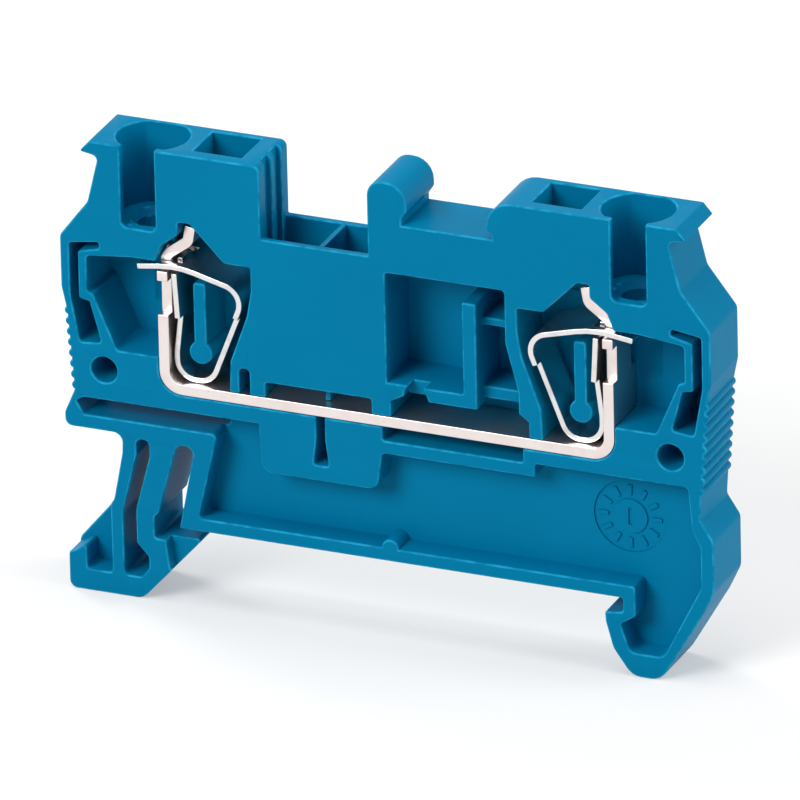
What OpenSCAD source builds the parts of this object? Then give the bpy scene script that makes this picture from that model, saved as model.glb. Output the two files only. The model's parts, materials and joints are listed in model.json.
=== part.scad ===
// Spring terminal block for a 35 mm top-hat rail: one open moulded housing, a bent current bar
// and two cage springs. X runs along the block, Y along the rail and Z up. The origin is the
// middle of the rail seat. The open side of the housing faces -Y.

/* [Block] */
// Overall length of the block
block_len = 49.5; // [49:0.5:54]
// Height of the top above the rail seat
block_top = 29; // [28.5:0.5:32]
// Thickness along the rail, the pitch of a row of blocks
pitch = 5.2; // [5:0.1:6.2]
// Thickness of the closed side behind the chambers
back_wall = 0.9; // [0.7:0.05:1.2]
// Thickness of the thin walls round the entries and the shaft
skin = 0.55; // [0.4:0.05:0.7]
// Depth of the shallow panel below the bar
panel_depth = 2; // [1:0.1:2.6]
// Number of grip ridges on each end face
ridge_count = 9; // [5:1:9]

/* [Rail foot] */
// Width of the rail over its flanges
rail_w = 35; // [34.6:0.1:35.4]
// Thickness of the rail's flanges
rail_t = 1; // [0.8:0.1:1.3]
// Play between flange and grip
rail_gap = 0.1; // [0.05:0.05:0.3]
// How far the feet reach below the rail seat
foot_drop = 5.95; // [5.5:0.05:7]
// Height of the wall that lies on the rail
seat_wall = 1; // [0.8:0.1:1.4]
// Width of the slots that make the left foot springy
foot_slot = 1; // [0.8:0.1:1.2]

/* [Current bar] */
// Thickness of the bar
bar_t = 0.8; // [0.6:0.05:1]
// Height of the bar's underside above the rail seat
bar_z = 10.4; // [10.2:0.05:11]
// Inner bend radius of the bar
bar_bend = 0.9; // [0.6:0.1:1.4]
// Width of the bar where it is notched
neck_w = 2.65; // [2.2:0.05:2.9]
// Play between the metal pieces and what they lie against
metal_gap = 0.05; // [0.03:0.01:0.1]

/* [Cage spring] */
// Thickness of the spring strip
strip_t = 0.4; // [0.35:0.05:0.5]
// Setback of the narrow lower loop on each edge of the strip
loop_setback = 0.6; // [0.4:0.05:0.8]
// Play between the bar's neck and the window round it
window_gap = 0.12; // [0.05:0.01:0.2]
// Radius of the bend at the foot of the loop
loop_bend = 1.57; // [1.3:0.01:1.7]

/* [Entries] */
// Width of the round wire entry
entry_d = 5.3; // [4.6:0.1:5.6]
// Diameter of the wire hole at its foot
wire_hole_d = 2.6; // [2.2:0.1:3]
// Width of the slot that opens the entry to the open side
entry_slot = 2.65; // [2:0.05:3]
// Length and depth of the square screwdriver hole
driver_hole = 3.7; // [3:0.1:4]
// Diameter of the peg holes
peg_hole_d = 2; // [1.6:0.1:2.4]
// Depth of the peg holes
peg_hole_depth = 3.2; // [2.2:0.1:3.8]
// Play between a peg and a peg hole, on the diameter
peg_gap = 0.1; // [0.04:0.02:0.2]
// Length of the pegs
peg_len = 1.5; // [1:0.1:2]

/* [Function shaft] */
// Height of the shaft's mouth above the rail seat
shaft_z = 23.4; // [22.5:0.1:25]
// Width of the shaft
shaft_w = 8.2; // [7.6:0.1:8.4]
// Thickness of the rib that parts the shaft in two
shaft_rib = 0.4; // [0.3:0.05:0.6]
// Height of the marker deck above the rail seat
deck_z = 26.1; // [25:0.1:26.5]
// Width of the marker deck between its two beads
deck_w = 6.05; // [5.6:0.05:6.4]

/* [Hidden] */
$fn = 64;
arc_step = 15;
strip_arc_step = 7.5;
edge_share = 0.9;
cut = 0.5;

// Depth levels, counted from the open side
front = -pitch / 2;
chamber = pitch - back_wall;
metal_y0 = metal_gap;
metal_y1 = chamber - metal_gap;
metal_mid = (metal_y0 + metal_y1) / 2;
metal_w = metal_y1 - metal_y0;
shelf_y = 1.2;
post_y = 0.9;
rooted = chamber + back_wall / 2;

// Places along the block
end_x = block_len / 2;
rail_x = rail_w / 2;
leg_x = end_x - 7.4;
leg_in = leg_x - bar_t;
entry_x = leg_x + 1.1;
driver_x = leg_x - 4.45;
peg_x = leg_x + 4.25;
post_x = leg_x - 2.85;
curl_x = leg_x - 2.3;
curl_wall = curl_x + bar_t / 2 + 0.2;
spring_wall = leg_x - 7.2;
spine_l = -1.1;
spine_r = 1.9;
shaft_l = spine_l - shaft_w;
shaft_rib_x = spine_l - 3.55 - shaft_rib;
deck_r = spine_r + deck_w;
room_l = spine_l + 1.25;
room_r = spring_wall - 0.95;
rib_x = room_l + 5.8;
rib_w = 1.05;
slit_end = -rail_x + 4.65;
slot_r = leg_x - 6.95;

// Heights
bar_top = bar_z + bar_t;
peg_z = bar_z + 1.05;
panel_top = bar_z - 1.1;
ledge_z = panel_top - 1;
chamber_floor = bar_z + 2.7;
chamber_roof = 20.5;
spring_roof = 21.1;
entry_floor = chamber_roof + 2.25;
shoulder_z = 21.45;
flank_top = 15.6;
flank_z = 9.6;
flank_in = 0.4;
flank_lean = 0.068;
spine_top = block_top + 0.25;
beam_z = 6.7;
slit_z = 7.75;
slit_top = panel_top - 0.2;
grip_z = rail_t + rail_gap;
slot_top = 6.45;
room_top = 22.3;
rib_top = 20.9;
rib_z = 12.8;
bead = 0.4;
outer_web = 1.4;
foot_floor = -foot_drop + 1.65;

// Rounded outlines: a corner is [x, z, radius]. Where an edge is too short for the arcs at its two
// ends, both arcs shrink by the same share
function corner(k, i) = k[(i + len(k)) % len(k)];
function place(k, i) = [corner(k, i)[0], corner(k, i)[1]];
function unit(v) = v / norm(v);
function flip(k) = [for (i = [len(k) - 1:-1:0]) [-k[i][0], k[i][1], k[i][2]]];
function towards(k, i, j) = unit(place(k, j) - place(k, i));
function half_angle(k, i) = acos(max(-1, min(1, towards(k, i, i - 1) * towards(k, i, i + 1)))) / 2;
function reach(k, i) = corner(k, i)[2] == 0 ? 0 : corner(k, i)[2] / tan(half_angle(k, i));
function share(k, i, j) = edge_share * norm(place(k, j) - place(k, i)) / (reach(k, i) + reach(k, j));
function corner_arc(k, i, step) =
    let (
        a = towards(k, i, i - 1),
        b = towards(k, i, i + 1),
        half = half_angle(k, i),
        r = corner(k, i)[2] * min(1, share(k, i, i - 1), share(k, i, i + 1)),
        mid = place(k, i) + unit(a + b) * r / sin(half),
        s = place(k, i) + a * r / tan(half) - mid,
        e = place(k, i) + b * r / tan(half) - mid,
        start = atan2(s[1], s[0]),
        sweep = atan2(e[1], e[0]) - start,
        turn = sweep > 180 ? sweep - 360 : sweep < -180 ? sweep + 360 : sweep,
        steps = max(2, ceil(abs(turn) / step))
    )
    [for (n = [0:steps]) mid + r * [cos(start + turn * n / steps), sin(start + turn * n / steps)]];
function rounded(k, step = arc_step) =
    [for (i = [0:len(k) - 1]) each corner(k, i)[2] == 0 ? [place(k, i)] : corner_arc(k, i, step)];

// Bent strips: the centre line is a rounded outline whose two ends have no radius, and the ribbon
// of one thickness runs along it
function centre_line(k) = rounded(k, strip_arc_step);
function heading(p, i) = unit(p[min(i + 1, len(p) - 1)] - p[max(i - 1, 0)]);
function beside(p, d) = [for (i = [0:len(p) - 1]) p[i] + d * [-heading(p, i)[1], heading(p, i)[0]]];
function backwards(p) = [for (i = [len(p) - 1:-1:0]) p[i]];
function ribbon(p, t) = concat(beside(p, t / 2), backwards(beside(p, -t / 2)));

// End face at a height: it leans in towards the foot
function flank(z) = end_x - flank_in - (flank_top - z) * flank_lean;

// Solids that stand on an outline, between two depths from the open side
module slab(y0, y1) {
    translate([0, front + y1, 0])
        rotate([90, 0, 0])
            linear_extrude(height = y1 - y0)
                children();
}

module shape(k) {
    polygon(rounded(k));
}

module each_side() {
    children();
    mirror([1, 0, 0])
        children();
}

// Outline of the housing, from the right foot round over the top to the left foot
right_foot = [
    [rail_x + 0.3, 0, 0.2],
    [rail_x + 0.3, -grip_z, 0.25],
    [rail_x - 1.1, -grip_z - 0.15, 0.15],
    [rail_x - 1.05, -grip_z - 0.9, 0.4],
    [rail_x - 0.5, -grip_z - 2.9, 1.5],
    [rail_x + 0.9, -foot_drop, 1.3],
    [rail_x + 3.1, -foot_drop, 1.4],
    [end_x - 0.9, -0.4, 1],
    [end_x, 1.5, 1.2],
    [end_x, 5.4, 0.8],
    [flank(6.9), 6.9, 0.6]
];
shoulder = [
    [flank(flank_top), flank_top, 0.6],
    [end_x, flank_top + 1.9, 0.8],
    [end_x, shoulder_z, 0.7],
    [end_x - 2.2, shoulder_z + 2.85, 0.9],
    [end_x - 3.1, block_top - 1.1, 0.4],
    [end_x - 1.7, block_top - 0.85, 0.1],
    [end_x - 2.45, block_top, 0.2]
];
deck = [
    [deck_r, block_top, 2.3],
    [deck_r, deck_z + 0.7, 0.2],
    [deck_r + bead, deck_z + 0.4, 0.15],
    [deck_r + bead, deck_z, 0],
    [spine_r - bead, deck_z, 0],
    [spine_r - bead, deck_z + 0.5, 0.15],
    [spine_r, deck_z + 1.1, 0.3],
    [spine_r, spine_top, 1.6],
    [spine_l, spine_top, 1.2],
    [spine_l, shaft_z, 0.1],
    [shaft_l, shaft_z, 0.1],
    [shaft_l, block_top, 0.5]
];
left_foot = [
    [-flank(flank_z), flank_z, 0.6],
    [-end_x, slit_z, 0.6],
    [-end_x, beam_z, 0.55],
    [-rail_x - 2.85, beam_z, 0.7],
    [-rail_x - 2.9, beam_z - 1.5, 0.6],
    [-rail_x - 3.65, 1.4, 0.8],
    [-end_x, 1.4 - (end_x - rail_x - 3.65) * 1.2, 0.8],
    [-end_x, -foot_drop, 0.6],
    [-rail_x - 1.6, -foot_drop, 1.1],
    [-rail_x + 2.75, -grip_z, 0.2],
    [-rail_x - 0.55, -grip_z, 0.25],
    [-rail_x - 0.55, 0.6, 0.3],
    [-rail_x - 0.2, 0.9, 0.3],
    [-rail_x + 1.35, slot_top, 0.6],
    [-rail_x + 2.7, slot_top, 0.6],
    [-rail_x + 1.4, 0, 0.1]
];
outline = concat(right_foot, shoulder, deck, flip(shoulder), left_foot);

// Chamber of one clamping point: wire room, spring room and the room above the bar's end
clamp_chamber = [
    [spring_wall, spring_roof, 0.2],
    [leg_x - 5.2, spring_roof, 0.5],
    [leg_x - 2.6, entry_floor + 1, 0.3],
    [curl_wall, entry_floor + 1, 0.2],
    [curl_wall, entry_floor, 0.4],
    [leg_x - 0.4, entry_floor - 1, 0.5],
    [leg_x + 0.1, chamber_roof, 0.15],
    [leg_x + 1.9, chamber_roof, 0],
    [leg_x + 5.4, chamber_roof - 0.4, 0.3],
    [leg_x + 5.4, 17.35, 0.2],
    [leg_x + 4.95, 17.2, 0.3],
    [leg_x + 3.2, chamber_floor, 0.3],
    [leg_in, chamber_floor, 0],
    [leg_in, bar_top, 0],
    [spring_wall + 1.8, bar_top, 0],
    [spring_wall + 1.7, 13.6, 0.5],
    [spring_wall + 0.35, 17.3, 1],
    [spring_wall, 19.3, 0.8]
];

// Dark slit between the wire room and the end wall
end_slit = [
    [peg_x + 0.15, 21.3, 0.2],
    [end_x - 0.7, 20.95, 0.25],
    [end_x - 0.7, 17, 0.3],
    [end_x - 1.35, 13.35, 0.25],
    [peg_x + 0.15, 13.5, 0.25],
    [peg_x + 1, 16.6, 0.15],
    [end_x - 1.35, 16.75, 0.2],
    [end_x - 1.35, 20.4, 0.25],
    [peg_x + 0.15, 20.8, 0.2]
];

// Centre line of the bar: half of it, from the middle to the lead-in curl above the cage
notch_z = 16.4;
bar_shoulder_z = 19;
bar_shoulder_top = 19.75;
curl_foot_z = 20.75;
curl_knee_z = 22;
curl_tip_z = 23.15;
curl_lean = 0.2;
bar_line = [
    [0, bar_z + bar_t / 2, 0],
    [leg_x - bar_t / 2, bar_z + bar_t / 2, bar_bend + bar_t / 2],
    [leg_x - bar_t / 2, curl_foot_z, 0.9],
    [curl_x + curl_lean, curl_knee_z, 0.6],
    [curl_x, curl_tip_z, 0]
];

// Centre lines of one cage spring
loop_off = 0.1;
loop_x = leg_in - metal_gap - loop_off - strip_t / 2;
loop_z = bar_top + metal_gap + strip_t / 2;
loop_rise = 2;
loop_lean = 0.395;
tip = [leg_x + 1.5, 19.9, 0];
crown = [leg_x - 1.55, 20.32, 6.5];
top_bend = [leg_x - 6.73, 18.97, 1.4];
kink_z = 16.9;
narrow_from = 0.35;
waist = [leg_x - 1.5, 16.3, 0];
inner_end = [leg_x - 1.3, 19.7, 0];
tab_w = 1.7;
tab_below = 0.7;
tab_above = 0.75;
window_w = neck_w + 2 * window_gap;
window_x0 = leg_x - 1.8;
window_x1 = leg_x + 1.05;
function on_loop(z) = top_bend[0] + (top_bend[1] - z) * loop_lean;
function on_tab(dz) = inner_end + unit(inner_end - waist) * dz;
top_leg = [tip, crown, top_bend, [on_loop(kink_z), kink_z, 0]];
loop = [
    [crown[0] + (top_bend[0] - crown[0]) * narrow_from, crown[1] + (top_bend[1] - crown[1]) * narrow_from, 0],
    top_bend,
    [on_loop(loop_z), loop_z, loop_bend],
    [loop_x, loop_z, loop_bend],
    [loop_x, loop_z + loop_rise, 1.5],
    waist,
    inner_end
];
inner_leg = [waist, inner_end];
tab_line = [on_tab(-tab_below), on_tab(tab_above)];

// Grip ridges down an end face, half round and lying along the rail
module grip_ridges() {
    ridge_r = 0.32;
    ridge_sink = 0.12;
    ridge_step = 0.82;
    lowest = flank_z - 0.5;
    for (i = [0:ridge_count - 1])
        translate([flank(lowest + ridge_step * i) - ridge_sink, front, lowest + ridge_step * i])
            rotate([-90, 0, 0])
                cylinder(r = ridge_r, h = pitch);
}

// Round wire entry with a flat towards each side, its open slot, floor and wire hole
module wire_entry() {
    slot_x = entry_x + 0.2;
    sink = 0.5;
    intersection() {
        translate([entry_x, 0, entry_floor])
            cylinder(d = entry_d, h = block_top - entry_floor + cut);
        translate([entry_x - entry_d, front + skin, entry_floor - cut])
            cube([2 * entry_d, pitch - 1.5 * skin, block_top - entry_floor + 3 * cut]);
    }
    slab(-cut, skin + cut)
        shape([
            [slot_x - entry_slot / 2, entry_floor, 0.5],
            [slot_x + entry_slot / 2, entry_floor, 0.5],
            [slot_x + entry_slot / 2, block_top + cut, 0],
            [slot_x - entry_slot / 2, block_top + cut, 0]
        ]);
    translate([entry_x, 0, chamber_roof - cut])
        cylinder(d = wire_hole_d, h = entry_floor - chamber_roof + 2 * cut);
    translate([entry_x, 0, entry_floor - sink])
        cylinder(d1 = wire_hole_d, d2 = wire_hole_d + 2.2 * sink, h = 1.1 * sink);
}

// Round-bottomed trough for the wire, sunk in the closed side
module wire_trough() {
    trough_r = wire_hole_d / 2;
    trough_sink = 0.4;
    trough_foot = 14.5;
    translate([entry_x, front + chamber + trough_sink - trough_r, trough_foot + trough_r]) {
        cylinder(r = trough_r, h = chamber_roof - trough_foot - trough_r);
        sphere(r = trough_r);
    }
}

// Square hole for the screwdriver, down into the spring room
module driver_entry() {
    driver_floor = spring_roof - 0.1;
    translate([driver_x - driver_hole / 2, front + 2 * skin, driver_floor])
        cube([driver_hole, min(driver_hole, pitch - 3 * skin), block_top - driver_floor + cut]);
}

// Post inside the spring loop, with its bulb at the foot
module loop_post() {
    post_w = 0.95;
    post_top = 18.85;
    bulb_d = 1.75;
    bulb_z = 13.5;
    slab(post_y, rooted) {
        shape([
            [post_x - post_w / 2, bulb_z, 0],
            [post_x + post_w / 2, bulb_z, 0],
            [post_x + post_w / 2, post_top, 0.25],
            [post_x - post_w / 2, post_top, 0.25]
        ]);
        translate([post_x, bulb_z])
            circle(d = bulb_d);
    }
}

// Two cells of the function shaft, the grooves in its end wall and its window above the bar
module function_shaft() {
    cell_y0 = skin;
    cell_y1 = pitch - skin;
    groove = 0.4;
    groove_w = 1.2;
    groove_land = (cell_y1 - cell_y0 - 2 * groove_w) / 3;
    groove_step = groove_land + groove_w;
    groove_foot = shaft_z - 2;
    window_h = 1.2;
    for (cell = [[shaft_l, shaft_rib_x], [shaft_rib_x + shaft_rib, spine_l]])
        translate([cell[0], front + cell_y0, bar_top])
            cube([cell[1] - cell[0], cell_y1 - cell_y0, shaft_z - bar_top + cut]);
    for (i = [0:1])
        translate([shaft_l - groove, front + cell_y0 + groove_land + i * groove_step, groove_foot])
            cube([2 * groove, groove_w, block_top - groove_foot + cut]);
    slab(-cut, cell_y0 + cut)
        shape([
            [shaft_l + 0.1, bar_top, 0],
            [spine_l, bar_top, 0],
            [spine_l, bar_top + window_h, 0.2],
            [shaft_l + 0.1, bar_top + window_h, 0.2]
        ]);
}

// Room right of the middle
module centre_room() {
    lean_top = 18.3;
    lean_foot = 14.6;
    ledge_top = 13;
    ledge_foot = 12.45;
    right_ledge = 0.75;
    left_ledge = 1;
    ledge_x = room_l + 0.25;
    slab(-cut, chamber)
        shape([
            [room_l, room_top, 0.2],
            [room_r, room_top, 0.3],
            [room_r, lean_top, 1],
            [spring_wall, lean_foot, 0.6],
            [spring_wall, ledge_top, 0.2],
            [spring_wall + right_ledge, ledge_foot, 0.2],
            [spring_wall + right_ledge, bar_top, 0],
            [ledge_x, bar_top, 0],
            [ledge_x, ledge_foot, 0.2],
            [ledge_x + left_ledge, ledge_top, 0.2],
            [ledge_x + left_ledge + 0.1, rib_z + rib_w, 0.2],
            [room_l, rib_z + rib_w, 0]
        ]);
}

// Angled rib in that room, its notch and the two shelves beside it
module centre_rib() {
    shelf_x = rib_x + rib_w - 0.1;
    difference() {
        slab(0, rooted)
            shape([
                [room_l + 1.15, rib_z, 0],
                [rib_x + rib_w, rib_z, 0.15],
                [rib_x + rib_w, rib_top, 0.15],
                [rib_x, rib_top, 0.15],
                [rib_x, rib_z + rib_w, 0.15],
                [room_l + 1.15, rib_z + rib_w, 0]
            ]);
        slab(-cut, shelf_y)
            shape([
                [room_l + 0.75, rib_z - 0.3, 0],
                [room_l + 1.75, rib_z + 1.3, 0.2],
                [room_l + 2.65, rib_z + 1.3, 0.2],
                [room_l + 3.25, rib_z - 0.3, 0]
            ]);
    }
    low_shelf = [spring_wall + 0.25 - shelf_x, 0.9];
    low_shelf_z = 13.3;
    high_shelf = [room_r + 0.3 - shelf_x, 0.6];
    high_shelf_z = 18.9;
    slab(shelf_y, rooted) {
        translate([shelf_x, low_shelf_z])
            square(low_shelf);
        translate([shelf_x, high_shelf_z])
            square(high_shelf);
    }
}

// Slots round the bar and the keyhole in the plate below it
module bar_slots() {
    key_half = 0.33;
    key_z = 8.6;
    key_foot = 6.6;
    slab(-cut, chamber) {
        shape([
            [spine_l + 0.8, panel_top, 0.2],
            [slot_r, panel_top, 0.2],
            [slot_r, bar_z, 0],
            [spine_l + 0.8, bar_z, 0]
        ]);
        shape([
            [-slot_r - 0.8, bar_top, 0],
            [-slot_r, bar_top, 0],
            [-slot_r, chamber_floor + 0.1, 0.4],
            [-slot_r - 0.8, chamber_floor + 0.1, 0.4]
        ]);
        shape([
            [shaft_rib_x - key_half, bar_z, 0],
            [shaft_rib_x - key_half, key_z, 0],
            [shaft_rib_x - key_half - 0.25, key_foot, 0.2],
            [shaft_rib_x + key_half + 0.25, key_foot, 0.2],
            [shaft_rib_x + key_half, key_z, 0],
            [shaft_rib_x + key_half, bar_z, 0]
        ]);
    }
}

// Channel that the bar lies in
module bar_channel() {
    channel_line = centre_line([bar_line[0], bar_line[1], [leg_x - bar_t / 2, chamber_roof, 0]]);
    slab(-cut, chamber)
        each_side()
            polygon(ribbon(channel_line, bar_t + 2 * metal_gap));
}

// Shallow panel that reaches down into the right foot
module lower_panel() {
    plate_l = shaft_l - 0.5;
    plate_r = spine_l + 0.75;
    plate_z = 5.4;
    step_x = leg_x - 6.05;
    in_slit = slit_end - 2 * cut;
    slab(-cut, panel_depth)
        shape([
            [in_slit, slit_top, 0],
            [plate_l, slit_top, 0],
            [plate_l + 0.15, plate_z, 0.9],
            [plate_r - 0.4, plate_z, 0.9],
            [plate_r, ledge_z, 0.3],
            [step_x, ledge_z, 0],
            [step_x, panel_top, 0.2],
            [end_x - 1.9, panel_top, 0.3],
            [end_x - 1.6, 6, 0.5],
            [end_x - 1, 4.8, 0.6],
            [end_x - 1, 1.7, 1],
            [rail_x + 3.3, foot_floor + 0.15, 0.8],
            [rail_x + 0.8, foot_floor + 0.15, 0.6],
            [rail_x + 0.1, -grip_z - 0.95, 0.2],
            [rail_x + 1.25, -grip_z - 0.2, 0.3],
            [rail_x + 1.25, seat_wall, 0.3],
            [-rail_x + 2.9, seat_wall, 0.3],
            [slit_end - 0.15, slit_z, 0.4],
            [in_slit, slit_z, 0]
        ]);
}

// Bare mark of the mould on the panel: a sunk ring with ticks round a plain disc with a pointer
module mould_mark() {
    mark_r = 2.75;
    disc_r = 1.3;
    tick = [0.75, 0.28];
    tick_count = 12;
    mark_sink = 0.12;
    slab(panel_depth - cut, panel_depth + mark_sink)
        translate([rail_x + 0.15, 5.45]) {
            difference() {
                circle(r = mark_r);
                circle(r = disc_r);
                for (i = [0:tick_count - 1])
                    rotate(360 * i / tick_count)
                        translate([(mark_r + disc_r - tick[0]) / 2, -tick[1] / 2])
                            square(tick);
            }
            square([tick[1], disc_r], center = true);
        }
}

// Slots and thinned webs of the springy left foot
module left_foot_cuts() {
    slot_upper = -rail_x - 1.3;
    slot_lower = -rail_x - 2.45;
    slab(-cut, pitch + cut) {
        shape([
            [-end_x + 0.9, slit_top - 0.35, 0.15],
            [-end_x + 1.5, slit_top, 0.2],
            [slit_end, slit_top, 0.2],
            [slit_end, slit_z, 0.2],
            [-end_x + 1.5, slit_z, 0.2]
        ]);
        shape([
            [slot_upper - foot_slot / 2, slot_top, 0.45],
            [slot_upper - foot_slot / 2, 5.2, 1],
            [slot_lower - foot_slot / 2, 0.6, 2],
            [slot_lower - foot_slot / 2, foot_floor, 0.35],
            [-rail_x - 1.65, foot_floor, 0.4],
            [-rail_x - 1.05, foot_floor + 0.75, 0.3],
            [-rail_x - 1.05, foot_floor + 1.65, 0.3],
            [slot_lower + foot_slot / 2, foot_floor + 2.65, 0.3],
            [slot_lower + foot_slot / 2, 1, 2],
            [slot_upper + foot_slot / 2, 5.2, 1],
            [slot_upper + foot_slot / 2, slot_top, 0.45]
        ]);
    }
    slab(-cut, panel_depth)
        shape([
            [-rail_x - 3.9, 2.2, 0],
            [-end_x - cut, 1.4 - (end_x + cut - rail_x - 3.65) * 1.2, 0],
            [-end_x + outer_web, -2.4, 0.2],
            [-end_x + outer_web, foot_floor, 0.25],
            [-rail_x - 3.9, foot_floor, 0.25]
        ]);
    slab(-cut, panel_depth / 2)
        shape([
            [-rail_x + 0.35, -grip_z - cut, 0.2],
            [-rail_x + 0.35, -grip_z + cut, 0],
            [-rail_x + 3.2, -grip_z + cut, 0],
            [-rail_x + 3.2, -grip_z - 2, 0],
            [-rail_x + 0.6, -grip_z - 2.3, 0.2]
        ]);
}

// Pegs on the closed side and the holes that take a neighbour's pegs
module pegs() {
    each_side()
        translate([peg_x, front + pitch - cut / 2, peg_z])
            rotate([-90, 0, 0])
                cylinder(d = peg_hole_d - peg_gap, h = peg_len + cut / 2);
}

module peg_holes() {
    each_side()
        translate([peg_x, front - cut, peg_z])
            rotate([-90, 0, 0])
                cylinder(d = peg_hole_d, h = peg_hole_depth + cut);
}

// Half-round boss on the seat wall
module seat_boss() {
    boss_r = 0.65;
    translate([0.1, front, seat_wall])
        rotate([-90, 0, 0])
            cylinder(r = boss_r, h = panel_depth + cut);
}

module housing() {
    color([0.02, 0.47, 0.66]) {
        difference() {
            union() {
                slab(0, pitch)
                    shape(outline);
                each_side()
                    grip_ridges();
                pegs();
            }
            each_side() {
                slab(-cut, chamber)
                    shape(clamp_chamber);
                slab(-cut, chamber)
                    shape(end_slit);
                wire_entry();
                wire_trough();
                driver_entry();
            }
            bar_channel();
            bar_slots();
            function_shaft();
            centre_room();
            lower_panel();
            mould_mark();
            left_foot_cuts();
            peg_holes();
        }
        each_side()
            loop_post();
        centre_rib();
        seat_boss();
    }
}

// Bar: the full-width strip, notched in front and behind below its shoulders and above them
module bar_half() {
    notch_x = curl_x - bar_t;
    notch_w = (metal_w - neck_w) / 2 + cut;
    difference() {
        slab(metal_y0, metal_y1)
            polygon(ribbon(centre_line(bar_line), bar_t));
        for (edge = [metal_y0 - cut, metal_mid + neck_w / 2])
            for (span = [[notch_z, bar_shoulder_z], [bar_shoulder_top, curl_tip_z + cut]])
                translate([notch_x, front + edge, span[0]])
                    cube([leg_x + cut - notch_x, notch_w, span[1] - span[0]]);
    }
}

module current_bar() {
    color([0.86, 0.8, 0.78])
        each_side()
            bar_half();
}

// Cage spring: top leg with a window, narrower loop, and inner leg with a tab
module cage_spring() {
    difference() {
        slab(metal_y0, metal_y1)
            polygon(ribbon(centre_line(top_leg), strip_t));
        translate([window_x0, front + metal_mid - window_w / 2, kink_z])
            cube([window_x1 - window_x0, window_w, block_top - kink_z]);
    }
    slab(metal_y0, metal_y1)
        polygon(ribbon(centre_line(inner_leg), strip_t));
    slab(metal_y0 + loop_setback, metal_y1 - loop_setback)
        polygon(ribbon(centre_line(loop), strip_t));
    slab(metal_mid - tab_w / 2, metal_mid + tab_w / 2)
        polygon(ribbon(centre_line(tab_line), strip_t));
}

module left_cage_spring() {
    color([0.8, 0.8, 0.78])
        mirror([1, 0, 0])
            cage_spring();
}

module right_cage_spring() {
    color([0.8, 0.8, 0.78])
        cage_spring();
}

housing();
current_bar();
left_cage_spring();
right_cage_spring();
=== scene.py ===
"""Looks, light and camera for a spring terminal block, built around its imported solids."""

from __future__ import annotations

import json
import logging
import math
from abc import ABC, abstractmethod
from dataclasses import dataclass, field
from enum import Enum
from typing import Any, Union

import bmesh
import bpy
from bmesh.types import BMEdge, BMesh, BMFace, BMLayerItem, BMVert
from mathutils import Matrix, Vector

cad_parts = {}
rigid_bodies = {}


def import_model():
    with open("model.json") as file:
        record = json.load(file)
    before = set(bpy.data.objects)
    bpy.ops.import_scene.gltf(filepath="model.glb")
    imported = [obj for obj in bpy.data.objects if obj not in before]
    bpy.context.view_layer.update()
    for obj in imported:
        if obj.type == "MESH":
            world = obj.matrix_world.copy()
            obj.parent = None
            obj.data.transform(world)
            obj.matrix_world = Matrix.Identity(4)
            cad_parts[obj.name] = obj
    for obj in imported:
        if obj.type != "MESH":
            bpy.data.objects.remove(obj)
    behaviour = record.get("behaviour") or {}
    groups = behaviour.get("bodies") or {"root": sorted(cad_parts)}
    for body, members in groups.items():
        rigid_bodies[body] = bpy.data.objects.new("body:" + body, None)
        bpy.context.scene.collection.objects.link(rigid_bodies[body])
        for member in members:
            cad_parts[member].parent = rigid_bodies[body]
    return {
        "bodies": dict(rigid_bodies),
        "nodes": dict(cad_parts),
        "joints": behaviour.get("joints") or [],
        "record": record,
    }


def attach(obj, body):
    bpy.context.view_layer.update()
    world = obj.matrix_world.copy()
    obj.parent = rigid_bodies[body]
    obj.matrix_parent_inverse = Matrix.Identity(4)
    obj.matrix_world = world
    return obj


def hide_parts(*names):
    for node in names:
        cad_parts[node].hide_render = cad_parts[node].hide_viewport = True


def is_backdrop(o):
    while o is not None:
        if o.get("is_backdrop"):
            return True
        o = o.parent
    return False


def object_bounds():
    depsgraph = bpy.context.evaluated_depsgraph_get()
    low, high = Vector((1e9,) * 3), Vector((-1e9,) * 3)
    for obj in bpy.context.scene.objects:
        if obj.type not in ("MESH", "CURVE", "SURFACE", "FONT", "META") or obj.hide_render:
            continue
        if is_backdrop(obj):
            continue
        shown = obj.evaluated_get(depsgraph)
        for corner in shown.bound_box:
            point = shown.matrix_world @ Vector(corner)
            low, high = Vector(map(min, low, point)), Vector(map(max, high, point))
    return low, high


LOG = logging.getLogger("spring_terminal_block")
MM = 0.001
MM2 = MM * MM
BODY = "root"
IMAGE_PX = 800
NOISE_MIDDLE = 0.5

Triple = tuple[float, float, float]
Step = tuple[float, float]
Value = Union["Wire", float, tuple]


class Side(Enum):
    """The two clamping points of the block."""

    LEFT = "left"
    RIGHT = "right"


class Mark(Enum):
    """Marks on the faces of a finished piece, which its material reads."""

    RIM = "rim"
    SHEARED = "sheared"


# Shader arithmetic


@dataclass(frozen=True)
class Pattern:
    """A noise pattern on a surface.

    Attributes:
        per_mm: Grains to a millimetre.
        detail: Octaves.
        rough: Weight of the fine octaves.
        stretch: Factor on each axis, below 1 to draw the pattern out along it.
    """

    per_mm: float
    detail: float = 2.0
    rough: float = 0.5
    stretch: Triple = (1.0, 1.0, 1.0)


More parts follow.
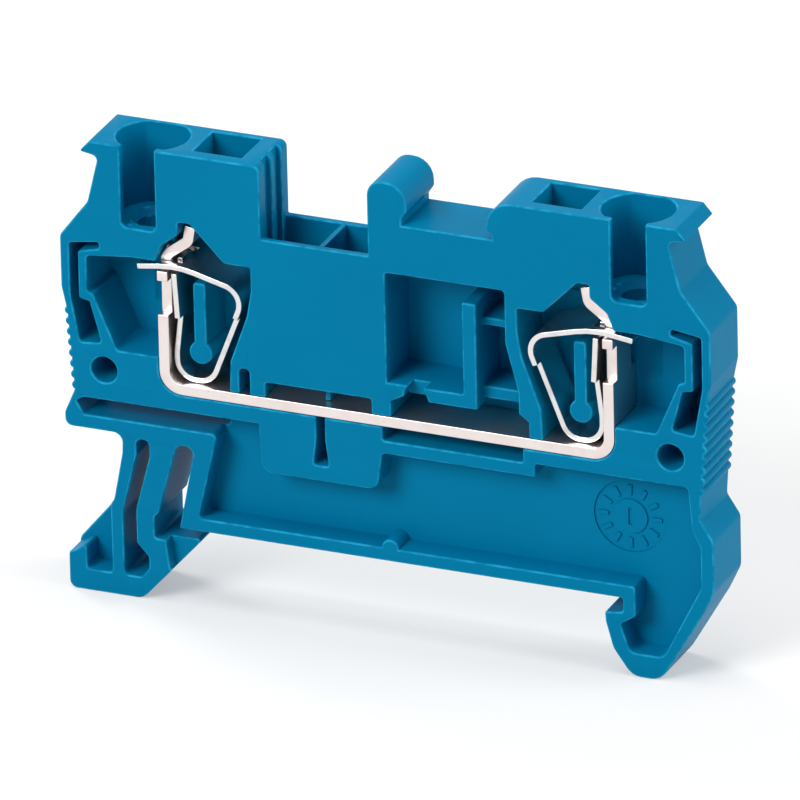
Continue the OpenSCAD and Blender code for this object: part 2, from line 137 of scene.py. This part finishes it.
class Wire:
    """A shader socket that takes part in Python arithmetic."""

    def __init__(self, sheet: NodeSheet, socket: bpy.types.NodeSocket) -> None:
        """Wraps an output socket of a node on a sheet."""
        self.sheet = sheet
        self.socket = socket

    def _with(self, operation: str, first: Value, second: Value) -> Wire:
        """The result of a Math node on two values."""
        return self.sheet.node("ShaderNodeMath", {"operation": operation}, {0: first, 1: second})

    def __add__(self, other: Value) -> Wire:
        """Sum."""
        return self._with("ADD", self, other)

    def __radd__(self, other: Value) -> Wire:
        """Sum with a number on the left."""
        return self._with("ADD", other, self)

    def __sub__(self, other: Value) -> Wire:
        """Difference."""
        return self._with("SUBTRACT", self, other)

    def __rsub__(self, other: Value) -> Wire:
        """Difference with a number on the left."""
        return self._with("SUBTRACT", other, self)

    def __mul__(self, other: Value) -> Wire:
        """Product."""
        return self._with("MULTIPLY", self, other)

    def __rmul__(self, other: Value) -> Wire:
        """Product with a number on the left."""
        return self._with("MULTIPLY", other, self)

    def most(self, other: Value) -> Wire:
        """The larger of two values."""
        return self._with("MAXIMUM", self, other)

    def swing(self, reach: float) -> Wire:
        """A noise moved to swing about 0, by half the reach to each side."""
        return (self - NOISE_MIDDLE) * reach

    def above(self, step: Step) -> Wire:
        """A soft step, from 0 at the step's first value to 1 at its second."""
        settings = {"interpolation_type": "SMOOTHSTEP"}
        return self.sheet.node("ShaderNodeMapRange", settings, {0: self, 1: step[0], 2: step[1]})

    def out(self, name: str) -> Wire:
        """Another output of the same node."""
        return Wire(self.sheet, self.socket.node.outputs[name])


class NodeSheet:
    """A material's or the world's node tree."""

    def __init__(self, owner: bpy.types.ID) -> None:
        """Empties the tree of a material or world.

        Args:
            owner: The material or world.
        """
        owner.use_nodes = True
        self.tree = owner.node_tree
        self.tree.nodes.clear()

    def node(
        self, kind: str, settings: dict[str, Any] | None = None, inputs: dict | None = None,
    ) -> Wire:
        """Adds one node.

        Args:
            kind: The node's type.
            settings: Its settings, set before its sockets.
            inputs: Values or wires by socket name or number.

        Returns:
            The node's first output that is in use.
        """
        made = self.tree.nodes.new(kind)
        for name, value in (settings or {}).items():
            setattr(made, name, value)
        for name, value in (inputs or {}).items():
            socket = made.inputs[name]
            if isinstance(value, Wire):
                self.tree.links.new(value.socket, socket)
            else:
                socket.default_value = value
        outputs = [s for s in made.outputs if s.enabled] or [None]
        return Wire(self, outputs[0])

    def noise(self, pattern: Pattern) -> Wire:
        """Noise on Object coordinates.

        Args:
            pattern: Its grain and stretch.

        Returns:
            The noise, which lies around its middle.
        """
        spot = self.node("ShaderNodeTexCoord").out("Object")
        scale = tuple(s / MM for s in pattern.stretch)
        place = self.node("ShaderNodeVectorMath", {"operation": "MULTIPLY"}, {0: spot, 1: scale})
        return self.node("ShaderNodeTexNoise", None, {
            "Vector": place,
            "Scale": pattern.per_mm,
            "Detail": pattern.detail,
            "Roughness": pattern.rough,
        })

    def mark(self, mark: Mark) -> Wire:
        """A mark on the faces, 0 or 1."""
        return self.node("ShaderNodeAttribute", {"attribute_name": mark.value}).out("Fac")

    def mix(self, share: Value, first: Value, second: Value) -> Wire:
        """Mixes two colours.

        Args:
            share: Share of the second colour.
            first: A colour or wire.
            second: A colour or wire.

        Returns:
            The mixed colour.
        """
        colours = [c if isinstance(c, Wire) else (*c, 1.0) for c in (first, second)]
        inputs = {0: share, 6: colours[0], 7: colours[1]}
        return self.node("ShaderNodeMix", {"data_type": "RGBA"}, inputs)

    def bump(self, height: Wire, depth_mm: float, below: Wire | None = None) -> Wire:
        """A bump from a height between 0 and 1.

        Args:
            height: The height.
            depth_mm: Its depth in millimetres.
            below: A bump below this one.

        Returns:
            The bent normal.
        """
        inputs = {"Height": height, "Strength": 1.0, "Distance": depth_mm * MM}
        if below is not None:
            inputs["Normal"] = below
        return self.node("ShaderNodeBump", None, inputs)

    def surface(self, inputs: dict[str, Value]) -> None:
        """Ends a material in a Principled shader with these sockets."""
        shader = self.node("ShaderNodeBsdfPrincipled", None, inputs)
        self.node("ShaderNodeOutputMaterial", None, {"Surface": shader})

    def seen(self) -> Wire:
        """Tells the rays that show the background from those that light the block.

        Returns:
            1 for a ray from the camera, from a reflection or through glass.
        """
        path = self.node("ShaderNodeLightPath")
        bounced = path.out("Is Glossy Ray").most(path.out("Is Transmission Ray"))
        return path.out("Is Camera Ray").most(bounced)


# Finishes


@dataclass(frozen=True)
class Finish(ABC):
    """What a surface is made of."""

    name: str = "bare"

    def make(self) -> bpy.types.Material:
        """Builds the material.

        Returns:
            The material.
        """
        material = bpy.data.materials.new(self.name)
        self.paint(NodeSheet(material))
        return material

    @abstractmethod
    def paint(self, sheet: NodeSheet) -> None:
        """Lays out the material's nodes on its sheet."""


@dataclass(frozen=True)
class MouldedBlue(Finish):
    """Blue polyamide as it leaves the mould: satin, with faint flow lines and a fine grain."""

    name: str = "moulded_blue"
    deep: Triple = (0.0, 0.188, 0.362)
    pale: Triple = (0.0, 0.200, 0.382)
    # Painted highlight: a lighter blue laid on the rounded rims, standing in for the light that
    # the edges catch.
    painted_rim_highlight: Triple = (0.012, 0.335, 0.575)
    clouds: Pattern = Pattern(0.07)
    flow: Pattern = Pattern(0.9, 3.0, 0.6, (0.12, 1.0, 0.7))
    grain: Pattern = Pattern(9.0, 3.0, 0.7)
    highlight_breakup: Pattern = Pattern(1.3)
    waves: Pattern = Pattern(0.5, 1.0)
    cloud_share: float = 0.75
    tone_step: Step = (0.3, 0.7)
    highlight_strength: float = 0.95
    highlight_step: Step = (0.25, 0.7)
    gloss: float = 0.38
    grain_gloss: float = 0.12
    flow_gloss: float = 0.10
    rim_gloss_drop: float = 0.06
    reflectance: float = 0.03
    ior: float = 1.53
    grain_mm: float = 0.003
    wave_mm: float = 0.01

    def paint(self, sheet: NodeSheet) -> None:
        """Lays out the material's nodes.

        Args:
            sheet: The material's sheet.
        """
        flow = sheet.noise(self.flow)
        grain = sheet.noise(self.grain)
        tone = self.cloud_share * sheet.noise(self.clouds) + (1.0 - self.cloud_share) * flow
        body = sheet.mix(tone.above(self.tone_step), self.deep, self.pale)
        # Painted highlight along the rounded rims: the lighter blue, broken up by noise, takes the
        # place of the body colour there, and the roughness drops there too.
        highlit_rim_mask = sheet.mark(Mark.RIM) * sheet.noise(self.highlight_breakup).above(self.highlight_step)
        highlight_weight = self.highlight_strength * highlit_rim_mask
        rough = self.gloss + grain.swing(self.grain_gloss) + flow.swing(self.flow_gloss)
        waves = sheet.bump(sheet.noise(self.waves), self.wave_mm)
        sheet.surface({
            "Base Color": sheet.mix(highlight_weight, body, self.painted_rim_highlight),
            "Roughness": rough - self.rim_gloss_drop * highlight_weight,
            "Specular IOR Level": self.reflectance,
            "IOR": self.ior,
            "Normal": sheet.bump(grain, self.grain_mm, waves),
        })


@dataclass(frozen=True)
class TinnedCopper(Finish):
    """Tin on copper: pale, faintly pink, brushed along the strip and sheared at its edges."""

    name: str = "tinned_copper"
    pale: Triple = (0.77, 0.70, 0.68)
    warm: Triple = (0.69, 0.57, 0.53)
    bare: Triple = (0.60, 0.38, 0.31)
    lines: Pattern = Pattern(2.5, 3.0, 0.6, (0.15, 6.0, 0.15))
    patches: Pattern = Pattern(0.55, 3.0, 0.6)
    specks: Pattern = Pattern(3.2)
    tears: Pattern = Pattern(7.0, stretch=(1.0, 0.2, 1.0))
    patch_share: float = 0.55
    patch_step: Step = (0.4, 0.75)
    speck_share: float = 0.5
    speck_step: Step = (0.66, 0.78)
    gloss: float = 0.34
    line_gloss: float = 0.16
    patch_gloss: float = 0.12
    sheared_gloss: float = 0.06
    line_mm: float = 0.004

    def paint(self, sheet: NodeSheet) -> None:
        """Lays out the material's nodes.

        Args:
            sheet: The material's sheet.
        """
        sheared = sheet.mark(Mark.SHEARED)
        lines = sheet.noise(self.lines)
        patches = sheet.noise(self.patches)
        specks = sheet.noise(self.specks).above(self.speck_step)
        warmth = self.patch_share * patches.above(self.patch_step)
        plated = sheet.mix(warmth, self.pale, self.warm)
        rough = self.gloss + lines.swing(self.line_gloss) + patches.swing(self.patch_gloss)
        height = lines * (1 - sheared) + sheet.noise(self.tears) * sheared
        sheet.surface({
            "Base Color": sheet.mix(self.speck_share * specks * sheared, plated, self.bare),
            "Metallic": 1.0,
            "Roughness": rough + self.sheared_gloss * sheared,
            "Normal": sheet.bump(height, self.line_mm),
        })


@dataclass(frozen=True)
class SpringSteel(Finish):
    """Bright stainless spring strip with fine rolling lines and duller patches."""

    name: str = "spring_steel"
    bright: Triple = (0.74, 0.73, 0.72)
    dull: Triple = (0.50, 0.49, 0.48)
    lines: Pattern = Pattern(2.0, 3.0, 0.6, (0.2, 9.0, 0.2))
    patches: Pattern = Pattern(0.8, 3.0, 0.55)
    patch_share: float = 0.6
    patch_step: Step = (0.45, 0.8)
    gloss: float = 0.24
    line_gloss: float = 0.06
    patch_gloss: float = 0.08
    line_mm: float = 0.001

    def paint(self, sheet: NodeSheet) -> None:
        """Lays out the material's nodes.

        Args:
            sheet: The material's sheet.
        """
        lines = sheet.noise(self.lines)
        patches = sheet.noise(self.patches)
        dulled = self.patch_share * patches.above(self.patch_step)
        rough = self.gloss + lines.swing(self.line_gloss) + patches.swing(self.patch_gloss)
        sheet.surface({
            "Base Color": sheet.mix(dulled, self.bright, self.dull),
            "Metallic": 1.0,
            "Roughness": rough,
            "Normal": sheet.bump(lines, self.line_mm),
        })


@dataclass(frozen=True)
class PaleFloor(Finish):
    """Plain white paper that keeps the shadow."""

    name: str = "pale_floor"
    shaded: Triple = (0.591, 0.591, 0.591)
    paper: Triple = (0.6, 0.6, 0.6)
    fibres: Pattern = Pattern(0.4, 3.0)
    lift: float = 0.35

    def paint(self, sheet: NodeSheet) -> None:
        """Lays out the material's nodes.

        Args:
            sheet: The material's sheet.
        """
        colour = sheet.mix(sheet.noise(self.fibres), self.shaded, self.paper)
        matt = sheet.node("ShaderNodeBsdfDiffuse", None, {"Color": colour})
        glow = sheet.node("ShaderNodeEmission", None, {"Strength": self.lift * sheet.seen()})
        both = sheet.node("ShaderNodeAddShader", None, {0: matt, 1: glow})
        sheet.node("ShaderNodeOutputMaterial", None, {"Surface": both})


# Roundings


def by_area(face: BMFace) -> tuple[float, int]:
    """Orders faces by area, and by number where that is the same."""
    return face.calc_area(), face.index


def by_length(edge: BMEdge) -> tuple[float, int]:
    """Orders edges by length, and by number where that is the same."""
    return edge.calc_length(), edge.index


@dataclass(frozen=True)
class Rounding:
    """Rounds the outer edges of a merged solid and mends what the rounding folds over.

    Attributes:
        edge_mm: How far the rounding reaches on each face.
        facet_mm2: Least area of the larger face at an edge.
        segments: Facets across a rounding.
        sharp_deg: Least turn at an edge that is rounded.
        room: Least mean width of a face at an edge, as a multiple of the reach.
        clearance: Least distance of another corner from an edge, as a multiple of the reach.
        weld_mm: Corners closer than this after the rounding become one.
        fold_deg: A turn past this is a fold.
        plane_mm: How far a corner of a flat face may lie off its plane.
        patch_mm2: Least area of a flat face that is filled again.
        sliver_mm: Longest edge of a sliver that is drawn to a point.
        passes: How often the slivers are drawn in.
    """

    edge_mm: float
    facet_mm2: float = 0.0
    segments: int = 3
    sharp_deg: float = 26.0
    room: float = 3.0
    clearance: float = 2.2
    weld_mm: float = 0.001
    fold_deg: float = 150.0
    plane_mm: float = 0.002
    patch_mm2: float = 2.0
    sliver_mm: float = 0.2
    passes: int = 12

    def _is_clear(self, edge: BMEdge) -> bool:
        """Tells whether an edge's two faces have no other corner within reach of the rounding.

        Args:
            edge: The edge.

        Returns:
            True if the rounding meets nothing.
        """
        start = edge.verts[0].co
        along = (edge.verts[1].co - start).normalized()
        reach = self.clearance * self.edge_mm * MM
        for vert in {v for f in edge.link_faces for v in f.verts}.difference(edge.verts):
            way = vert.co - start
            foot = way.dot(along)
            if 0.0 < foot < edge.calc_length() and (way - along * foot).length < reach:
                return False
        return True

    def _outer_edges(self, bm: BMesh) -> list[BMEdge]:
        """Finds the edges to round.

        Args:
            bm: The merged solid.

        Returns:
            The sharp outer edges whose two faces have room for the rounding.
        """
        limit = math.radians(self.sharp_deg)
        width = self.room * self.edge_mm * MM
        chosen = []
        for edge in bm.edges:
            if not (edge.is_manifold and edge.is_convex and edge.calc_face_angle(0.0) > limit):
                continue
            narrow, wide = sorted(f.calc_area() for f in edge.link_faces)
            has_room = narrow > width * edge.calc_length() and wide > self.facet_mm2 * MM2
            if has_room and self._is_clear(edge):
                chosen.append(edge)
        return chosen

    def _flat_patch(self, seed: BMFace, rim: BMLayerItem) -> set[BMFace]:
        """Gathers the faces that lie in one plane and hang together.

        Args:
            seed: The face to start from.
            rim: The layer that marks the roundings, which don't belong to a flat face.

        Returns:
            The faces, the seed among them.
        """
        point, normal = seed.verts[0].co.copy(), seed.normal.copy()
        reach = self.plane_mm * MM
        patch, rest = {seed}, [seed]
        while rest:
            for face in {f for e in rest.pop().edges for f in e.link_faces} - patch:
                level = all(abs((v.co - point).dot(normal)) < reach for v in face.verts)
                if level and not face[rim]:
                    patch.add(face)
                    rest.append(face)
        return patch

    @staticmethod
    def _number(bm: BMesh) -> None:
        """Numbers corners, edges and faces afresh, so that ties fall the same way in every run."""
        for rows in (bm.verts, bm.edges, bm.faces):
            rows.index_update()

    def _creases(self, bm: BMesh) -> list[BMEdge]:
        """Finds the edges at which the surface turns back on itself.

        Args:
            bm: The rounded solid.

        Returns:
            The edges.
        """
        limit = math.radians(self.fold_deg)
        bm.normal_update()
        self._number(bm)
        return [e for e in bm.edges if e.is_manifold and e.calc_face_angle(0.0) > limit]

    def _refill(self, bm: BMesh) -> None:
        """Fills each flat face again whose triangles the rounding folded over one another.

        Args:
            bm: The rounded solid.
        """
        rim = bm.faces.layers.float[Mark.RIM.value]
        folded = {f for e in self._creases(bm) for f in e.link_faces if not f[rim]}
        while folded:
            patch = self._flat_patch(max(folded, key=by_area), rim)
            folded -= patch
            if sum(f.calc_area() for f in patch) < self.patch_mm2 * MM2:
                continue
            normal = max(patch, key=by_area).normal.copy()
            borders = sorted({e for f in patch for e in f.edges}, key=lambda e: e.index)
            outline = [e for e in borders if len(patch.intersection(e.link_faces)) == 1]
            bmesh.ops.delete(bm, geom=list(patch), context="FACES_KEEP_BOUNDARY")
            made = bmesh.ops.triangle_fill(bm, use_beauty=True, edges=outline, normal=normal)
            faces = [f for f in made["geom"] if isinstance(f, BMFace)]
            bmesh.ops.reverse_faces(bm, faces=[f for f in faces if f.normal.dot(normal) < 0.0])
            self._number(bm)

    @staticmethod
    def _stays_closed(edge: BMEdge) -> bool:
        """Tells whether the surface stays closed when an edge is drawn to a point."""
        first, second = ({e.other_vert(v) for e in v.link_edges} for v in edge.verts)
        return first & second <= {v for f in edge.link_faces for v in f.verts}

    def _draw_in(self, bm: BMesh) -> None:
        """Draws in the slivers that the rounding folded over, each at its shortest edge.

        Args:
            bm: The rounded solid.
        """
        for _ in range(self.passes):
            slivers = {min(e.link_faces, key=by_area) for e in self._creases(bm)}
            shortest = {min(f.edges, key=by_length) for f in slivers}
            taken: set[BMVert] = set()
            chosen = []
            for edge in sorted(shortest, key=by_length):
                ring = {v for end in edge.verts for e in end.link_edges for v in e.verts}
                small = edge.calc_length() < self.sliver_mm * MM
                if small and taken.isdisjoint(ring) and self._stays_closed(edge):
                    chosen.append(edge)
                    taken |= ring
            bmesh.ops.collapse(bm, edges=chosen, uvs=False)

    def apply(self, bm: BMesh) -> None:
        """Rounds the outer edges and marks the roundings.

        Args:
            bm: The merged solid, which holds the marks' layers.
        """
        edges = self._outer_edges(bm)
        bmesh.ops.triangulate(bm, faces=bm.faces[:], ngon_method="BEAUTY")
        made = bmesh.ops.bevel(
            bm, geom=edges, offset=self.edge_mm * MM, offset_type="OFFSET",
            segments=self.segments, profile=0.5, affect="EDGES", clamp_overlap=False,
            material=-1, loop_slide=False, face_strength_mode="ALL")
        rim = bm.faces.layers.float[Mark.RIM.value]
        for face in made["faces"]:
            face[rim] = 1.0
        bmesh.ops.remove_doubles(bm, verts=bm.verts, dist=self.weld_mm * MM)
        self._refill(bm)
        many_sided = [f for f in bm.faces if len(f.verts) > 4]
        bmesh.ops.triangulate(bm, faces=many_sided, ngon_method="EAR_CLIP")
        self._draw_in(bm)


# Pieces


@dataclass
class Piece:
    """A solid of the block, copied, with its edges rounded and its finish put on.

    Attributes:
        node: The solid's node.
        slot: The record's material slot; not used.
        finish: What its surface is made of.
        rounding: How its outer edges are rounded.
        merge_mm: Corners of the solid closer than this become one.
        flat_deg: Faces that turn by less than this become one.
        smooth_deg: Least turn at an edge that is shaded sharp.
        sheared_share: Least share of a face's normal along the rail where a strip was sheared.
    """

    node: str
    slot: str
    finish: Finish
    rounding: Rounding
    merge_mm: float = 0.02
    flat_deg: float = 1.0
    smooth_deg: float = 38.0
    sheared_share: float = 0.7

    @staticmethod
    def _box(bm: BMesh) -> tuple[list[float], list[float]]:
        """The lowest and the highest corner of a solid's box."""
        spread = list(zip(*(v.co for v in bm.verts)))
        return [min(s) for s in spread], [max(s) for s in spread]

    @staticmethod
    def _hold(bm: BMesh, low: list[float], high: list[float]) -> None:
        """Brings back each corner that the rounding pushed out of the solid's box."""
        for vert in bm.verts:
            vert.co = [min(max(c, a), b) for c, a, b in zip(vert.co, low, high)]

    def _shade(self, bm: BMesh) -> None:
        """Shades the solid smooth between its sharp edges and marks what was sheared.

        Args:
            bm: The rounded solid.
        """
        limit = math.radians(self.smooth_deg)
        sheared = bm.faces.layers.float[Mark.SHEARED.value]
        bm.normal_update()
        for face in bm.faces:
            face.smooth = True
            face[sheared] = float(abs(face.normal.y) > self.sheared_share)
        for edge in bm.edges:
            edge.smooth = edge.calc_face_angle(0.0) < limit

    def build(self, frame: dict[str, Any]) -> bpy.types.Object:
        """Copies the solid and rounds its edges.

        Args:
            frame: The loaded frame.

        Returns:
            The piece.
        """
        bm = bmesh.new()
        bm.from_mesh(frame["nodes"][self.node].data)
        low, high = self._box(bm)
        for mark in Mark:
            bm.faces.layers.float.new(mark.value)
        bmesh.ops.remove_doubles(bm, verts=bm.verts, dist=self.merge_mm * MM)
        bmesh.ops.dissolve_limit(
            bm, angle_limit=math.radians(self.flat_deg), use_dissolve_boundaries=False,
            verts=bm.verts, edges=bm.edges)
        self.rounding.apply(bm)
        self._hold(bm, low, high)
        self._shade(bm)
        mesh = bpy.data.meshes.new(self.node + "_rounded")
        bm.to_mesh(mesh)
        bm.free()
        piece = bpy.data.objects.new(self.node + "_finished", mesh)
        bpy.context.scene.collection.objects.link(piece)
        weighted = piece.modifiers.new("flat_faces", "WEIGHTED_NORMAL")
        weighted.keep_sharp = True
        weighted.use_face_influence = True
        return piece

    def dress(self, frame: dict[str, Any], materials: dict[str, bpy.types.Material]) -> None:
        """Builds the piece, puts its finish on and sets it in its node's place.

        Args:
            frame: The loaded frame.
            materials: Finished materials by name, filled as they are made.
        """
        piece = self.build(frame)
        if self.finish.name not in materials:
            materials[self.finish.name] = self.finish.make()
        piece.data.materials.append(materials[self.finish.name])
        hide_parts(self.node)
        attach(piece, BODY)
        LOG.info("%s: %d faces", piece.name, len(piece.data.polygons))


@dataclass
class Housing(Piece):
    """The moulding, with the rounded rims that its mould leaves."""

    node: str = "housing"
    slot: str = "housing"
    finish: Finish = MouldedBlue()
    rounding: Rounding = Rounding(edge_mm=0.12, facet_mm2=0.3)


@dataclass
class CurrentBar(Piece):
    """The bent bar, with the small roll-over of a stamped strip."""

    node: str = "current_bar"
    slot: str = "bar"
    finish: Finish = TinnedCopper()
    rounding: Rounding = Rounding(edge_mm=0.05)


@dataclass
class CageSpring(Piece):
    """One folded spring strip, with its edges broken."""

    node: str = "cage_spring"
    slot: str = "spring"
    finish: Finish = SpringSteel()
    rounding: Rounding = Rounding(edge_mm=0.05)
    side: Side = Side.LEFT

    def __post_init__(self) -> None:
        """Names the solid after its side."""
        self.node = self.side.value + "_cage_spring"


# Studio


def direction(azimuth: float, elevation: float) -> Vector:
    """The way to a viewer, in degrees round from the open side and above the floor."""
    a, e = math.radians(azimuth), math.radians(elevation)
    return Vector((math.sin(a) * math.cos(e), -math.cos(a) * math.cos(e), math.sin(e)))


@dataclass
class Lamp:
    """A soft round lamp that looks at the block, with metres and watts as its sizes."""

    name: str
    azimuth: float
    elevation: float
    distance: float
    size: float
    power: float

    def build(self, target: Vector) -> None:
        """Hangs the lamp.

        Args:
            target: The point that it looks at.
        """
        data = bpy.data.lights.new(self.name, "AREA")
        data.shape = "DISK"
        data.size = self.size
        data.energy = self.power
        lamp = bpy.data.objects.new(self.name, data)
        back = direction(self.azimuth, self.elevation)
        lamp.location = target + back * self.distance
        lamp.rotation_euler = back.to_track_quat("Z", "Y").to_euler()
        bpy.context.scene.collection.objects.link(lamp)


@dataclass
class Studio:
    """Floor, lamps, world and camera.

    Attributes:
        azimuth: The camera's degrees round the block.
        elevation: Its degrees above the floor.
        roll: Its turn about its own line of sight, in degrees.
        distance: Its distance in metres.
        px_per_mm: Pixels to a millimetre at the point that it looks at.
        aim_mm: That point.
        sensor_mm: Width of its sensor.
        sight_m: How far it sees.
        floor_m: Side of the floor.
        ambient: Strength of the light from all round.
        lamps: The lamps.
    """

    azimuth: float = 23.3
    elevation: float = 24.4
    roll: float = -1.3
    distance: float = 1.475
    px_per_mm: float = 14.2
    aim_mm: Triple = (0.0, 0.0, 11.4)
    sensor_mm: float = 36.0
    sight_m: float = 20.0
    floor_m: float = 6.0
    ambient: float = 0.22
    lamps: list[Lamp] = field(default_factory=lambda: [
        Lamp("key", azimuth=-25.0, elevation=33.0, distance=1.1, size=0.6, power=8.4),
        Lamp("top", azimuth=0.0, elevation=85.0, distance=1.1, size=0.6, power=3.8),
        Lamp("side", azimuth=100.0, elevation=25.0, distance=1.2, size=1.0, power=8.5),
        Lamp("back", azimuth=-120.0, elevation=35.0, distance=1.2, size=0.5, power=4.6),
    ])

    def floor(self, low: float) -> None:
        """Lays the floor.

        Args:
            low: The height of the block's lowest point.
        """
        bm = bmesh.new()
        bmesh.ops.create_grid(bm, x_segments=2, y_segments=2, size=self.floor_m / 2)
        bmesh.ops.translate(bm, verts=bm.verts, vec=Vector((0.0, 0.0, low)))
        mesh = bpy.data.meshes.new("floor")
        bm.to_mesh(mesh)
        bm.free()
        mesh.materials.append(PaleFloor().make())
        floor = bpy.data.objects.new("floor", mesh)
        bpy.context.scene.collection.objects.link(floor)
        floor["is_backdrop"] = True

    def world(self) -> None:
        """Fills the room with soft light, white where it is seen."""
        world = bpy.data.worlds.new("studio")
        bpy.context.scene.world = world
        sheet = NodeSheet(world)
        strength = self.ambient + (1.0 - self.ambient) * sheet.seen()
        white = (1.0, 1.0, 1.0, 1.0)
        sky = sheet.node("ShaderNodeBackground", None, {"Color": white, "Strength": strength})
        sheet.node("ShaderNodeOutputWorld", None, {"Surface": sky})

    def camera(self) -> None:
        """Stands the camera where the picture was taken from."""
        data = bpy.data.cameras.new("camera")
        data.sensor_width = self.sensor_mm
        focal_px = self.px_per_mm * self.distance / MM
        data.lens = focal_px / IMAGE_PX * self.sensor_mm
        data.clip_end = self.sight_m
        camera = bpy.data.objects.new("camera", data)
        back = direction(self.azimuth, self.elevation)
        aim = Vector(self.aim_mm) * MM
        turn = back.to_track_quat("Z", "Y").to_matrix().to_4x4()
        tilt = Matrix.Rotation(math.radians(self.roll), 4, "Z")
        camera.matrix_world = Matrix.Translation(aim + back * self.distance) @ turn @ tilt
        bpy.context.scene.collection.objects.link(camera)
        bpy.context.scene.camera = camera

    def build(self, low: float) -> None:
        """Sets up the whole studio.

        Args:
            low: The height of the block's lowest point.
        """
        self.floor(low)
        self.world()
        for lamp in self.lamps:
            lamp.build(Vector(self.aim_mm) * MM)
        self.camera()
        bpy.context.scene.view_settings.view_transform = "Standard"


def main() -> None:
    """Builds the block's pieces in order, then the studio."""
    logging.basicConfig(level=logging.INFO, format="%(name)s: %(message)s")
    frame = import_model()
    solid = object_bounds()
    materials: dict[str, bpy.types.Material] = {}
    pieces = [Housing(), CurrentBar(), *(CageSpring(side=side) for side in Side)]
    for piece in pieces:
        piece.dress(frame, materials)
    Studio().build(solid[0][2])


if __name__ == "__main__":
    main()
